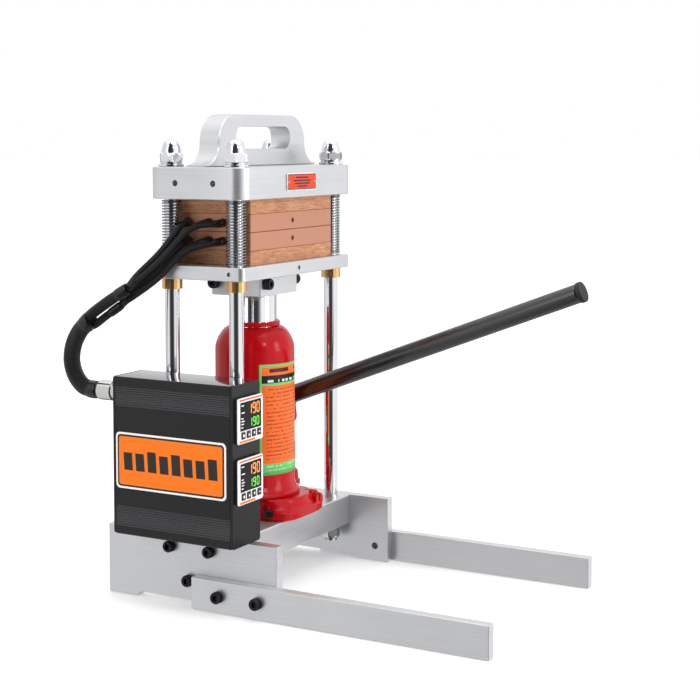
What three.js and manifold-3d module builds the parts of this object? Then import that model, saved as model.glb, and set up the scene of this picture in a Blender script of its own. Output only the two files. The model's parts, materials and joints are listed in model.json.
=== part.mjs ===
// Bench hydraulic press with two heated plates: four guide rods, a bottle jack that lifts the lower
// platen, a temperature control box and two stabiliser legs. Millimetres, +Z up. The press faces -Y:
// the legs, the pump lever and the control box displays all point that way.
import * as THREE from 'three';
import { mergeVertices } from 'three/addons/utils/BufferGeometryUtils.js';
import Module from 'manifold-3d';

const wasm = await Module();
wasm.setup();

// ---- driving dimensions -------------------------------------------------------------------------
const GAP = 0.3;                    // running clearance between separate pieces
const AXIS_X = 7.6;               // where the ram axis stands in the finished part's own frame
const AXIS_Y = 132.2;
const ROD_X = 103, ROD_Y = 42, ROD_R = 8;
const ROD_TOP = 490;
const FOOT = { half: 110, inner: 120.3, thick: 12, high: 77, arch: 5, archHalf: 71 };
const LEG = { thick: 12, high: 35, back: -9, front: -358 };
const BASE = { halfY: 59, z0: 42, z1: 77 };
const TOP = { x: 121.5, y: 62, r: 16, z0: 440, z1: 475 };
const PLATEN = { x: 118, y: 59.5, r: 6, z0: 353, z1: 368 };
const STACK = { x: 88, y: 51, lowBoard: 384, seam: 404, highBoard: 424 };
const HANDLE = { thick: 26, foot: 117, post: 91.5, top: 532.5, grip: 57.5, gripLow: 494, gripHigh: 519.5 };
const JACK = { r: 45.5, baseTop: 99, shoulder: 273, neckR: 29.5, neckZ: 292, glandTop: 298, ramR: 24.5 };
const LEVER = { x: 67, r: 10.5, tilt: 21.05, z0: 198.8, inner: -20, outer: 394 };
const FULCRUM = { y: 26, z: 171 };
const PLUNGER = { y: 0, z: 175, r: 6 };
const VALVE = { x: 35, z: 89, r: 8 };
const BOX = { x0: -166, x1: -112, y: 77, z0: 77.3, z1: 249.5, wall: 3, cover: 3.2 };
const PANEL = { x: -137.8, size: 48, proud: 5, upperZ: 212, lowerZ: 147.5 };
const KEY = { wide: 6.6, high: 7.4, pitch: 10.2, drop: 15.3, proud: 1, travel: 1 };
const GLAND = { x: -139, z: 228, end: 113 };
const PORTS = [29, 2.5, -16];       // where the heater leads enter the plates, along Y
const SPRING = { r: 10, wire: 1.1, turns: 9 };

// ---- materials ----------------------------------------------------------------------------------
const mat = (color, metalness, roughness) => new THREE.MeshStandardMaterial({ color, metalness, roughness });
const M = {
  alu: () => mat(0xc9cbcd, 0.9, 0.35), chrome: () => mat(0xe8eaec, 1, 0.08), brass: () => mat(0xc79a4b, 1, 0.3),
  red: () => mat(0xc8141e, 0.1, 0.25), steel: () => mat(0x9a9da0, 0.9, 0.35), black: () => mat(0x2b2b2d, 0.4, 0.4),
  copper: () => mat(0xc48c73, 0.7, 0.4), board: () => mat(0xc0905f, 0, 0.7), braid: () => mat(0x151515, 0, 0.6),
  orange: () => mat(0xff8424, 0, 0.4), white: () => mat(0xf2f2f0, 0, 0.4), gloss: () => mat(0x101012, 0.2, 0.15),
};

const group = new THREE.Group();
group.name = 'hydraulic_heat_press';
group.position.set(AXIS_X, AXIS_Y, 0);

// ---- geometry helpers ---------------------------------------------------------------------------
const solid = (geometry) => {
  const g = geometry.clone();
  g.deleteAttribute('normal');
  g.deleteAttribute('uv');
  const m = mergeVertices(g, 1e-4);
  return new wasm.Manifold(new wasm.Mesh({
    numProp: 3, vertProperties: new Float32Array(m.attributes.position.array),
    triVerts: new Uint32Array(m.index.array),
  }));
};
const toGeometry = (manifold) => {
  const mesh = manifold.getMesh();
  const g = new THREE.BufferGeometry();
  g.setAttribute('position', new THREE.BufferAttribute(new Float32Array(mesh.vertProperties), 3));
  g.setIndex(new THREE.BufferAttribute(new Uint32Array(mesh.triVerts), 1));
  const flat = g.toNonIndexed();
  flat.computeVertexNormals();
  return flat;
};
const join = (first, ...rest) => rest.reduce((a, b) => a.add(b), first);
const cut = (first, ...rest) => rest.reduce((a, b) => a.subtract(b), first);

const block = (x0, x1, y0, y1, z0, z1) => {
  const g = new THREE.BoxGeometry(x1 - x0, y1 - y0, z1 - z0);
  g.translate((x0 + x1) / 2, (y0 + y1) / 2, (z0 + z1) / 2);
  return solid(g);
};
// A round bar from low to high along one axis; a and b are its centre on the other two axes, in order.
const bar = (axis, r, low, high, a, b, sides = 20) => {
  const g = new THREE.CylinderGeometry(r, r, high - low, sides);
  g.rotateY(Math.PI / sides);
  const mid = (low + high) / 2;
  if (axis === 'z') { g.rotateX(Math.PI / 2); g.translate(a, b, mid); }
  if (axis === 'y') g.translate(a, mid, b);
  if (axis === 'x') { g.rotateZ(Math.PI / 2); g.translate(mid, a, b); }
  return solid(g);
};
const turned = (profile, x = 0, y = 0, sides = 32) => {
  const g = new THREE.LatheGeometry(profile.map(([r, z]) => new THREE.Vector2(r, z)), sides);
  g.rotateX(Math.PI / 2);
  g.translate(x, y, 0);
  return solid(g);
};
const outline = (points) => new THREE.Shape(points.map(([a, b]) => new THREE.Vector2(a, b)));
const roundedRect = (hx, hy, r, steps = 6, cx = 0, cy = 0) => {
  const points = [];
  [[1, 1, 0], [-1, 1, 1], [-1, -1, 2], [1, -1, 3]].forEach(([sx, sy, quarter]) => {
    for (let i = 0; i <= steps; i += 1) {
      const a = (quarter + i / steps) * Math.PI / 2;
      points.push([cx + sx * (hx - r) + r * Math.cos(a), cy + sy * (hy - r) + r * Math.sin(a)]);
    }
  });
  return points;
};
// A flat outline given thickness: plane 'xy' rises along Z, 'xz' runs along Y, 'yz' runs along X.
const plate = (points, plane, low, high, bevel = 0) => {
  const g = new THREE.ExtrudeGeometry(outline(points), {
    depth: high - low - 2 * bevel, bevelEnabled: bevel > 0, bevelThickness: bevel, bevelSize: bevel,
    bevelOffset: -bevel, bevelSegments: 1, curveSegments: 8,
  });
  g.translate(0, 0, low + bevel);
  if (plane === 'xz') g.applyMatrix4(new THREE.Matrix4().set(1, 0, 0, 0, 0, 0, 1, 0, 0, 1, 0, 0, 0, 0, 0, 1));
  if (plane === 'yz') g.applyMatrix4(new THREE.Matrix4().set(0, 0, 1, 0, 1, 0, 0, 0, 0, 1, 0, 0, 0, 0, 0, 1));
  if (plane === 'xz') {             // that swap mirrors the solid, so its faces are turned round again
    const p = g.attributes.position.array;
    for (let i = 0; i < p.length; i += 9) {
      for (let k = 0; k < 3; k += 1) [p[i + 3 + k], p[i + 6 + k]] = [p[i + 6 + k], p[i + 3 + k]];
    }
  }
  return solid(g);
};
const circle = (r, sides) => Array.from({ length: sides }, (_, i) => {
  const a = 2 * Math.PI * i / sides;
  return [r * Math.cos(a), r * Math.sin(a)];
});
const tube = (points, r, steps, sides = 8) => {
  const path = new THREE.CatmullRomCurve3(points.map((p) => new THREE.Vector3(...p)), false, 'centripetal');
  return solid(new THREE.ExtrudeGeometry(outline(circle(r, sides)), { steps, extrudePath: path }));
};
const hexagon = (acrossCorners, z0, z1, x, y) => bar('z', acrossCorners / 2, z0, z1, x, y, 6);

const add = (name, manifold, material) => {
  const mesh = new THREE.Mesh(toGeometry(manifold), material);
  mesh.name = name;
  group.add(mesh);
};

const CORNERS = [
  ['front_left', -ROD_X, -ROD_Y], ['front_right', ROD_X, -ROD_Y],
  ['back_left', -ROD_X, ROD_Y], ['back_right', ROD_X, ROD_Y],
];

// ---- base frame ---------------------------------------------------------------------------------
const footOutline = [
  [-FOOT.half, 0], [-FOOT.archHalf, 0], [-FOOT.archHalf + 3, FOOT.arch - 1], [-FOOT.archHalf + 6, FOOT.arch],
  [FOOT.archHalf - 6, FOOT.arch], [FOOT.archHalf - 3, FOOT.arch - 1], [FOOT.archHalf, 0], [FOOT.half, 0],
  [FOOT.half, FOOT.high], [-FOOT.half, FOOT.high],
];
for (const [side, s] of [['left', -1], ['right', 1]]) {
  const span = [FOOT.inner, FOOT.inner + FOOT.thick].map((v) => s * v).sort((a, b) => a - b);
  add(`foot_plate_${side}`, cut(
    plate(footOutline, 'yz', span[0], span[1], 0.6),
    bar('x', 4, span[0] - 1, span[1] + 1, -92.5, 18, 12),     // tapped hole behind the front leg screw
  ), M.alu());
  const legX = [FOOT.inner + FOOT.thick + 0.2, FOOT.inner + FOOT.thick + LEG.thick].map((v) => s * v);
  legX.sort((a, b) => a - b);
  const screwX = [FOOT.inner + FOOT.thick + LEG.thick - 2, FOOT.inner + FOOT.thick + LEG.thick + 7.7].map((v) => s * v);
  screwX.sort((a, b) => a - b);
  add(`leg_${side}`, join(
    plate([
      [LEG.front, 0], [LEG.back, 0], [LEG.back, LEG.high], [LEG.front, LEG.high],
    ], 'yz', legX[0], legX[1], 1),
    ...[-44, -92.7].map((y) => bar('x', 6, screwX[0], screwX[1], y, 18, 16)),   // heads of the two leg screws
  ), M.alu());
}

const baseHalfX = FOOT.inner - 0.2;
add('base_plate', cut(
  plate(roundedRect(baseHalfX, BASE.halfY, 3, 1), 'xy', BASE.z0, BASE.z1, 0.8),
  ...CORNERS.map(([, x, y]) => bar('z', ROD_R + GAP, BASE.z0 - 1, BASE.z1 + 1, x, y)),
), M.alu());

// Each guide rod carries its foot nut, tightened up against the base plate.
for (const [where, x, y] of CORNERS) {
  add(`guide_rod_${where}`, join(
    bar('z', ROD_R, 24, ROD_TOP, x, y),
    hexagon(22, 27.5, BASE.z0 - GAP, x, y),
  ), M.chrome());
  const z = TOP.z1 + GAP;
  add(`cap_nut_${where}`, cut(join(
    bar('z', 14.2, z, z + 2.6, x, y),                         // flat washer
    bar('z', 12, z + 2.6, z + 5, x, y),                       // spring washer
    hexagon(28, z + 5, z + 15, x, y),
    turned([[0, z + 14], [11.2, z + 14], [11.1, z + 19], [10.2, z + 24], [7.4, z + 28.2], [0, z + 30]], x, y, 20),
  ), bar('z', ROD_R + GAP, z - 1, ROD_TOP + 1, x, y)), M.chrome());
}

// ---- top plate, handle and tag --------------------------------------------------------------------
const sideHoles = (spread, z, r, face, depth) => [-1, 1].flatMap((s) => [-spread, spread].map(
  (y) => bar('x', r, s > 0 ? face - depth : -face - 1, s > 0 ? face + 1 : -face + depth, y, z, 12)));
add('top_plate', cut(
  plate(roundedRect(TOP.x, TOP.y, TOP.r, 7), 'xy', TOP.z0, TOP.z1, 0.8),
  ...CORNERS.map(([, x, y]) => bar('z', ROD_R + GAP, TOP.z0 - 1, TOP.z1 + 1, x, y)),
  ...sideHoles(24.5, (TOP.z0 + TOP.z1) / 2, 3.5, TOP.x, 12),
), M.alu());

const arch = (high, half, r, low, foot) => {                  // right half of the handle outline
  const points = [];
  for (let i = 0; i <= 10; i += 1) {                          // concave flare from the foot to the post
    const a = Math.PI / 2 * i / 10;
    points.push([foot - (foot - half) * Math.sin(a), low + 2 + 24 * (1 - Math.cos(a))]);
  }
  for (let i = 0; i <= 12; i += 1) {
    const a = Math.PI / 2 * i / 12;
    points.push([half - r + r * Math.cos(a), high - r + r * Math.sin(a)]);
  }
  return points;
};
const handleLow = TOP.z1 + GAP;
const handleRight = arch(HANDLE.top, HANDLE.post, 31, handleLow, HANDLE.foot);
const handleOutline = [
  [-HANDLE.foot, handleLow], [HANDLE.foot, handleLow], ...handleRight,
  ...handleRight.slice().reverse().map(([x, z]) => [-x, z]),
];
const gripMid = (HANDLE.gripLow + HANDLE.gripHigh) / 2;
add('carry_handle', cut(
  plate(handleOutline, 'xz', -HANDLE.thick / 2, HANDLE.thick / 2, 1),
  plate(roundedRect(HANDLE.grip, (HANDLE.gripHigh - HANDLE.gripLow) / 2, 11, 5, 0, gripMid), 'xz', -20, 20),
), M.alu());
add('front_tag', plate(
  roundedRect(31.5, 9.5, 1.5, 2, 0, (TOP.z0 + TOP.z1) / 2), 'xz', -TOP.y - 1.8, -TOP.y - GAP,
), M.orange());

// ---- heated plates and their insulating boards ------------------------------------------------------
const slab = (z0, z1, bevel) => plate(roundedRect(STACK.x, STACK.y, 1, 1), 'xy', z0, z1, bevel);
const heated = (z0, z1) => cut(
  slab(z0, z1, 0.4), bar('y', 2.9, -STACK.y - 1, -STACK.y + 12, 0, (z0 + z1) / 2, 10));
add('upper_board', slab(STACK.highBoard, TOP.z0 - GAP, 0.2), M.board());
add('upper_heat_plate', heated(STACK.seam + GAP, STACK.highBoard - 0.2), M.copper());
add('lower_heat_plate', heated(STACK.lowBoard, STACK.seam), M.copper());
add('lower_board', slab(PLATEN.z1 + 0.2, STACK.lowBoard - 0.2, 0.2), M.board());

// ---- moving platen ---------------------------------------------------------------------------------
const platenMid = (PLATEN.z0 + PLATEN.z1) / 2;
add('platen', cut(
  plate(roundedRect(PLATEN.x, PLATEN.y, PLATEN.r, 3), 'xy', PLATEN.z0, PLATEN.z1, 0.6),
  ...CORNERS.map(([, x, y]) => bar('z', 10.8, PLATEN.z0 - 1, PLATEN.z1 + 1, x, y)),
  ...sideHoles(ROD_Y, platenMid, 2.6, PLATEN.x, 3.2),
  bar('y', 2.6, -PLATEN.y - 1, -PLATEN.y + 8, 0, platenMid, 10),
), M.alu());
for (const [where, x, y] of CORNERS) {
  const inside = ROD_R + GAP;
  add(`bushing_${where}`, cut(join(
    bar('z', 11.3, PLATEN.z0 - 12, PLATEN.z0 - GAP, x, y),
    bar('z', 10.4, PLATEN.z0 - 1, PLATEN.z1 - 0.2, x, y),
  ), bar('z', inside, PLATEN.z0 - 20, PLATEN.z1 + 5, x, y)), M.brass());

  const low = PLATEN.z1 + GAP + SPRING.wire, high = TOP.z0 - GAP - SPRING.wire;
  const coil = [];
  for (let i = 0; i <= SPRING.turns * 8; i += 1) {
    const a = i * Math.PI / 4;
    coil.push([x + SPRING.r * Math.cos(a), y + SPRING.r * Math.sin(a), low + (high - low) * i / (SPRING.turns * 8)]);
  }
  add(`return_spring_${where}`, tube(coil, SPRING.wire, SPRING.turns * 8, 5), M.steel());
}
add('ram_collar', cut(
  plate(roundedRect(40, 33, 1.5, 1), 'xy', 329, PLATEN.z0 - 0.2, 0.5),
  bar('z', JACK.ramR + GAP, 320, 360, 0, 0, 32),
), M.alu());

// ---- bottle jack -----------------------------------------------------------------------------------
add('jack_ram', bar('z', JACK.ramR, 190, PLATEN.z0 - GAP, 0, 0, 32), M.chrome());
const barrel = { r: 12, top: 146 };
add('jack_base', cut(join(
  plate([                                                     // wide flange
    [-32, -58], [44, -58], [58, -52], [66, -42], [84, -18], [86, -10], [86, 30], [82, 38], [70, 48], [-36, 48],
    [-50, 42], [-57, 30], [-57, -30], [-54.5, -43], [-46, -52],
  ], 'xy', BASE.z1 + GAP, 88, 1.5),
  plate([                                                     // raised middle that carries the reservoir and pump
    [-44, -46], [36, -46], [52, -40], [60, -30], [76, -14], [78, -6], [78, 30], [66, 40], [-40, 40], [-48, 32], [-48, -36],
  ], 'xy', 87, JACK.baseTop, 1.5),
  bar('y', 11, -59.5, -47, VALVE.x, VALVE.z, 20),
  bar('z', barrel.r, 90, barrel.top, LEVER.x, PLUNGER.y, 24),
  bar('z', barrel.r + 3, 90, 112, LEVER.x, PLUNGER.y, 24),
), bar('z', PLUNGER.r + GAP, 104, 160, LEVER.x, PLUNGER.y, 20),
bar('y', 5.2, -70, -46, VALVE.x, VALVE.z, 16)), M.red());
const z = JACK.baseTop + GAP;
add('jack_body', turned([
  [0, z], [51.5, z], [51.5, z + 5], [47, z + 8.5], [JACK.r, z + 12], [JACK.r, JACK.shoulder],
  [JACK.r - 2.2, JACK.shoulder + 6], [JACK.neckR + 6, JACK.neckZ - 7], [JACK.neckR + 1, JACK.neckZ - 2],
  [JACK.neckR, JACK.neckZ], [26, JACK.neckZ], [26, 150], [0, 150],
], 0, 0, 36), M.red());
add('ram_gland_nut', cut(
  bar('z', JACK.neckR - 0.6, JACK.neckZ + GAP, JACK.glandTop, 0, 0, 32),
  bar('z', JACK.ramR + GAP, 280, 310, 0, 0, 32),
), M.red());
add('release_valve', cut(join(
  bar('y', VALVE.r, -65.5, -59.8, VALVE.x, VALVE.z, 20),
  bar('y', 4.8, -60, -48, VALVE.x, VALVE.z, 16),
), block(VALVE.x - 1.4, VALVE.x + 1.4, -66.5, -63, VALVE.z - 9, VALVE.z + 9)), M.red());

// ---- pump linkage ----------------------------------------------------------------------------------
const tilt = LEVER.tilt * Math.PI / 180;
// Along the lever, from the point where its axis crosses the ram axis plane; positive runs outwards.
const alongLever = (r, from, to, sides = 24) => {
  const g = new THREE.CylinderGeometry(r, r, to - from, sides);
  g.rotateX(Math.PI);
  g.translate(0, -(from + to) / 2, 0);
  g.rotateX(-tilt);
  g.translate(LEVER.x, 0, LEVER.z0);
  return solid(g);
};
const ear = (y, zMid, r) => Array.from({ length: 16 }, (_, i) => {
  const a = 2 * Math.PI * i / 16;
  return [y + r * Math.cos(a), zMid + r * Math.sin(a)];
});
const cheek = (x0, x1) => join(
  plate(ear(PLUNGER.y, PLUNGER.z, 9), 'yz', x0, x1),
  plate(ear(FULCRUM.y, FULCRUM.z, 9), 'yz', x0, x1),
  plate([[PLUNGER.y - 9, PLUNGER.z], [PLUNGER.y, PLUNGER.z - 9], [FULCRUM.y, FULCRUM.z - 9], [FULCRUM.y + 9, FULCRUM.z],
    [22, 190], [-6, 200]], 'yz', x0, x1),
);
const pinHoles = [
  bar('x', 3.8, LEVER.x - 20, LEVER.x + 20, PLUNGER.y, PLUNGER.z, 16),
  bar('x', 3.8, LEVER.x - 20, LEVER.x + 20, FULCRUM.y, FULCRUM.z, 16),
];
add('lever_socket', cut(join(
  alongLever(13, -24, 8), cheek(LEVER.x - 12.3, LEVER.x - 8.3), cheek(LEVER.x + 8.3, LEVER.x + 12.3),
), alongLever(LEVER.r + GAP, LEVER.inner - 0.6, 30), ...pinHoles), M.red());
add('lever_bar', cut(
  alongLever(LEVER.r, LEVER.inner, LEVER.outer), alongLever(8.4, LEVER.inner - 9, LEVER.outer + 9),
), M.gloss());
add('lever_cap', join(
  alongLever(11.4, LEVER.outer + GAP, LEVER.outer + 6), alongLever(8, LEVER.outer - 26, LEVER.outer + 2),
), M.braid());
const pin = (y, zMid) => bar('x', 3.5, LEVER.x - 14.5, LEVER.x + 14.5, y, zMid, 16);
add('plunger_pin', pin(PLUNGER.y, PLUNGER.z), M.steel());
add('fulcrum_pin', pin(FULCRUM.y, FULCRUM.z), M.steel());

const eyeSlot = plate([
  ...ear(PLUNGER.y + 3, PLUNGER.z, 4.1).filter(([y]) => y >= PLUNGER.y + 3 - 1e-6 - 4.2),
], 'yz', LEVER.x - 20, LEVER.x + 20);
add('pump_plunger', cut(join(
  bar('z', PLUNGER.r, 119, PLUNGER.z - 2, LEVER.x, PLUNGER.y, 20),
  plate(roundedRect(9, 7.4, 5, 4, PLUNGER.y + 1, PLUNGER.z), 'yz', LEVER.x - 7.6, LEVER.x + 7.6),
), bar('x', 4.1, LEVER.x - 20, LEVER.x + 20, PLUNGER.y, PLUNGER.z, 16), eyeSlot,
block(LEVER.x - 20, LEVER.x + 20, PLUNGER.y, PLUNGER.y + 3, PLUNGER.z - 4.02, PLUNGER.z + 4.02)), M.steel());
add('fulcrum_link', cut(join(
  plate(ear(FULCRUM.y, FULCRUM.z, 7.6), 'yz', LEVER.x - 7.4, LEVER.x + 7.4),
  block(LEVER.x - 7.4, LEVER.x + 7.4, FULCRUM.y - 6.5, FULCRUM.y + 6.5, JACK.baseTop + GAP, FULCRUM.z),
), bar('x', 3.8, LEVER.x - 20, LEVER.x + 20, FULCRUM.y, FULCRUM.z, 16)), M.red());

// ---- control box -----------------------------------------------------------------------------------
const boxMidX = (BOX.x0 + BOX.x1) / 2, boxHalfX = (BOX.x1 - BOX.x0) / 2;
const boxMidZ = (BOX.z0 + BOX.z1) / 2, boxHalfZ = (BOX.z1 - BOX.z0) / 2;
const boxRing = (inset, r) => roundedRect(boxHalfX - inset, boxHalfZ - inset, r, 2, boxMidX, boxMidZ);
const shellEnd = BOX.y - BOX.cover - 0.2;
add('box_shell', cut(
  plate(boxRing(0, 3), 'xz', -shellEnd, shellEnd),
  plate(boxRing(BOX.wall, 1.5), 'xz', -BOX.y - 5, BOX.y + 5),
), M.black());
const window45 = (zMid) => block(
  PANEL.x - 22.6, PANEL.x + 22.6, -BOX.y - 5, -BOX.y + 10, zMid - 22.6, zMid + 22.6);
add('box_front_cover', cut(
  plate(boxRing(0, 3), 'xz', -BOX.y, -BOX.y + BOX.cover, 0.4), window45(PANEL.upperZ), window45(PANEL.lowerZ),
), M.black());
add('box_back_cover', plate(boxRing(0, 3), 'xz', BOX.y - BOX.cover, BOX.y, 0.4), M.black());
add('box_label', plate(
  roundedRect(71, 30.5, 4, 3, 1.5, 159), 'yz', BOX.x0 - 1.2, BOX.x0 - 0.2,
), M.orange());

for (const [row, zMid] of [['upper', PANEL.upperZ], ['lower', PANEL.lowerZ]]) {
  const face = -BOX.y - PANEL.proud;
  const keys = [-1.5, -0.5, 0.5, 1.5].map((n) => PANEL.x + n * KEY.pitch);
  const keyZ = zMid - KEY.drop;
  const keyBlock = (x, grow, y0, y1) => block(
    x - KEY.wide / 2 - grow, x + KEY.wide / 2 + grow, y0, y1, keyZ - KEY.high / 2 - grow, keyZ + KEY.high / 2 + grow);
  add(`controller_${row}`, cut(join(
    plate(roundedRect(PANEL.size / 2, PANEL.size / 2, 2, 2, PANEL.x, zMid), 'xz', face, -BOX.y - GAP, 0.6),
    block(PANEL.x - 22.2, PANEL.x + 22.2, -BOX.y - 1, -20, zMid - 22.2, zMid + 22.2),
  ), ...keys.map((x) => keyBlock(x, 0.25, face - 1, face + 5))), M.white());
  keys.forEach((x, i) => add(
    `key_${row}_${i + 1}`, keyBlock(x, 0, face - KEY.proud, face + 3.6), M.black()));
}

add('cable_gland', cut(join(
  bar('y', 12, BOX.y + GAP, BOX.y + 9, GLAND.x, GLAND.z, 6),
  bar('y', 9.4, BOX.y + 5, GLAND.end - 14, GLAND.x, GLAND.z, 20),
  bar('y', 11, GLAND.end - 18, GLAND.end, GLAND.x, GLAND.z, 20),
), bar('y', 5, GLAND.end - 20, GLAND.end + 1, GLAND.x, GLAND.z, 12)), M.chrome());

// ---- cables ----------------------------------------------------------------------------------------
// The sleeve runs from the gland up round the back of the box; each plate's three leads leave their
// ports, gather into a thinner sleeve of their own and end at the mouth of the big one.
add('cable_sleeve', tube([
  [GLAND.x, GLAND.end + 0.8, GLAND.z], [GLAND.x, GLAND.end + 3, GLAND.z], [-139.5, 124, 227.4],
  [-141.5, 136, 231], [-145, 144.5, 243], [-149, 146.5, 260], [-152, 141, 278], [-154.5, 130.5, 293],
  [-155.5, 117.5, 305],
], 9.5, 34, 10), M.braid());
const leads = (zPort, sag, mouth, middle, gather, trunkR) => join(
  tube([mouth, middle, gather], trunkR, 8, 10),
  ...PORTS.map((y, i) => tube([
    [-STACK.x - 0.5, y, zPort], [-90, y, zPort], [-97, y > 20 ? 26.6 : y, zPort - 0.5],
    [-110, y > 20 ? 27.5 : y + 1, zPort - 4], [-126, 30 - 4 * i, zPort - 20 - sag],
    [-141, 50 - 3 * i, zPort - 46 - sag], gather,
  ], 3, 20, 7)),
);
add('heater_leads_upper', leads(
  414, 0, [-156.3, 114, 312.5], [-154.5, 94, 326.5], [-150.5, 67, 343.5], 6.2), M.braid());
add('heater_leads_lower', leads(
  394, 4, [-152.5, 110.5, 302], [-150.5, 97, 311.5], [-146.5, 79, 324.5], 4.2), M.braid());

export default group;
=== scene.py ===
"""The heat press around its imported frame: finer pieces, finishes, cables, light and camera."""

import json
from functools import partial
from math import cos, pi, radians, sin

import bmesh
import bpy
import numpy as np
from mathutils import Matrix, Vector

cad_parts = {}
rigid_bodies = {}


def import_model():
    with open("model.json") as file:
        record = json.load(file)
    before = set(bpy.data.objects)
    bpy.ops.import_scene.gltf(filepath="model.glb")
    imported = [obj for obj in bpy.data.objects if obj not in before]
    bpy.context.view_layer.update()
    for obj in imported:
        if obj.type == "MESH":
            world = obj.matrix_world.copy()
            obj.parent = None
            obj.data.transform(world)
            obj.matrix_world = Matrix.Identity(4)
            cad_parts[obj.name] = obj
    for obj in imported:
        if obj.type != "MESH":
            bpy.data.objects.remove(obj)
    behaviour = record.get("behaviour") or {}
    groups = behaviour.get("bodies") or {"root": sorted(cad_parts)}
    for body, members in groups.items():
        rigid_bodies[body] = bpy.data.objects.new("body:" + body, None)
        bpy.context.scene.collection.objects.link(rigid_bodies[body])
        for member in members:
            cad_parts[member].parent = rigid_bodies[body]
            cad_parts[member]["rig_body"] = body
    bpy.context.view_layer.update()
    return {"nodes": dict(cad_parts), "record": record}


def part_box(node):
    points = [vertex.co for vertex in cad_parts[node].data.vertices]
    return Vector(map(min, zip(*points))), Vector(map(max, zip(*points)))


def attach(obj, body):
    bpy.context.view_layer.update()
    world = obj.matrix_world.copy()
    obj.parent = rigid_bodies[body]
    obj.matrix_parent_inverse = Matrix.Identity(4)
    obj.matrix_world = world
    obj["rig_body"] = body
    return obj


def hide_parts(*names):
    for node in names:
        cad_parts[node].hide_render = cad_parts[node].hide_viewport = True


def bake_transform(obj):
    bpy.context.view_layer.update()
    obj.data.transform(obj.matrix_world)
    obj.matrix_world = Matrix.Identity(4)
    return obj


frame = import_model()
slot_of = {s["node"]: s["material_slot"] for s in frame["record"]["subparts"]}

MM = 0.001
PRESS_AXIS = np.array([7.6, 132.2, 0.0])       # where the ram's axis stands in the row frame, mm
ROD_X, ROD_Y, ROD_R = 103.0, 42.0, 8.0
CORNERS = {"front_left": (-1, -1), "front_right": (1, -1), "back_left": (-1, 1), "back_right": (1, 1)}
PLATE_TOP, PLATEN_TOP = 439.7, 368.3            # the springs stand between these heights
ROOT, MOVING = "press_frame", "platen"


def at(points):
    """Millimetres from the ram's axis to metres in the row frame: each point plus the axis, over 1000."""
    return (np.asarray(points, float) + PRESS_AXIS) * MM


def unit(v):
    v = np.asarray(v, float)
    return v / np.linalg.norm(v, axis=-1, keepdims=True)


# ---- camera -----------------------------------------------------------------------------------------
camera = bpy.data.objects.new("camera", bpy.data.cameras.new("camera"))
bpy.context.scene.collection.objects.link(camera)
CAMERA_YAW, CAMERA_PITCH = 0.5031, 0.0642
camera.location = at((-1502.15, -951.55, 506.1))
look = Vector((cos(CAMERA_YAW) * cos(CAMERA_PITCH), sin(CAMERA_YAW) * cos(CAMERA_PITCH), -sin(CAMERA_PITCH)))
camera.rotation_euler = look.to_track_quat("-Z", "Y").to_euler()
camera.data.sensor_width = 36
camera.data.lens = 79.86
camera.data.shift_y = -0.16
camera.data.clip_end = 100
bpy.context.scene.camera = camera


# ---- shaping ----------------------------------------------------------------------------------------
def full_turn(count):
    return np.arange(count) * 2 * pi / count


def grid_faces(rows, across, closed=True):
    """Quads of a grid, each row closing on itself or open: corners (i, j), (i, j+1), (i+1, j+1), (i+1, j)."""
    i, j = np.meshgrid(np.arange(rows - 1), np.arange(across if closed else across - 1), indexing="ij")
    k = (j + 1) % across
    low, high = i * across, (i + 1) * across
    return np.stack([low + j, low + k, high + k, high + j], -1).reshape(-1, 4)


def piece(name, points, faces, body, slot, material, sharp=35, uv=None, stands_for=None):
    """A mesh from millimetres about the ram's axis, riding on a body; uv has a pair for every corner."""
    mesh = bpy.data.meshes.new(name)
    mesh.from_pydata(at(points).tolist(), [], [list(map(int, f)) for f in faces])
    if uv is not None:
        layer = mesh.uv_layers.new(name="along")
        layer.data.foreach_set("uv", np.asarray(uv, np.float32).ravel())
    mesh.shade_smooth()
    mesh.set_sharp_from_angle(angle=radians(sharp))
    obj = bpy.data.objects.new(name, mesh)
    bpy.context.scene.collection.objects.link(obj)
    mesh.materials.append(material)
    if body:
        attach(obj, body)
    if stands_for:
        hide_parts(stands_for)
    return obj


def capped(points, first, last):
    """A grid of points, rows by angles, its rows closed and each end drawn to one point: all points and faces."""
    rows, across = points.shape[:2]
    j = np.arange(across)
    k = (j + 1) % across
    count, end = rows * across, (rows - 1) * across
    faces = np.vstack([np.stack([np.full(across, count), k, j], -1),
                       np.stack([np.full(across, count + 1), end + j, end + k], -1)])
    return np.vstack([points.reshape(-1, 3), first, last]), grid_faces(rows, across).tolist() + faces.tolist()


def rings(radius, height, origin, axis, start=0.0):
    """A closed surface from rings: radius is rows by angles, height a value for each row, both ends closed to a
    centre point. A point is origin + axis*height + radius*(cos a * side + sin a * other)."""
    radius, h, origin = (np.asarray(x, float) for x in (radius, height, origin))
    axis = unit(axis)
    side = unit(np.cross(axis, (0, 0, 1) if abs(axis[2]) < 0.9 else (0, 1, 0)))
    other = np.cross(axis, side)
    a = start + full_turn(radius.shape[1])
    round_it = np.cos(a)[:, None] * side + np.sin(a)[:, None] * other
    points = origin + h[:, None, None] * axis + radius[:, :, None] * round_it
    return capped(points, origin + axis * h[0], origin + axis * h[-1])


def turned(profile, origin, axis, across=64):
    """A profile of (radius, height) pairs turned about an axis: the same radius at every angle."""
    p = np.array(profile, float)
    return rings(np.repeat(p[:, :1], across, 1), p[:, 1], origin, axis)


def together(*parts):
    """Several (points, faces) as one."""
    points, faces, n = [], [], 0
    for p, f in parts:
        points.append(np.asarray(p, float))
        faces += [[i + n for i in face] for face in f]
        n += len(p)
    return np.vstack(points), faces


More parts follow.
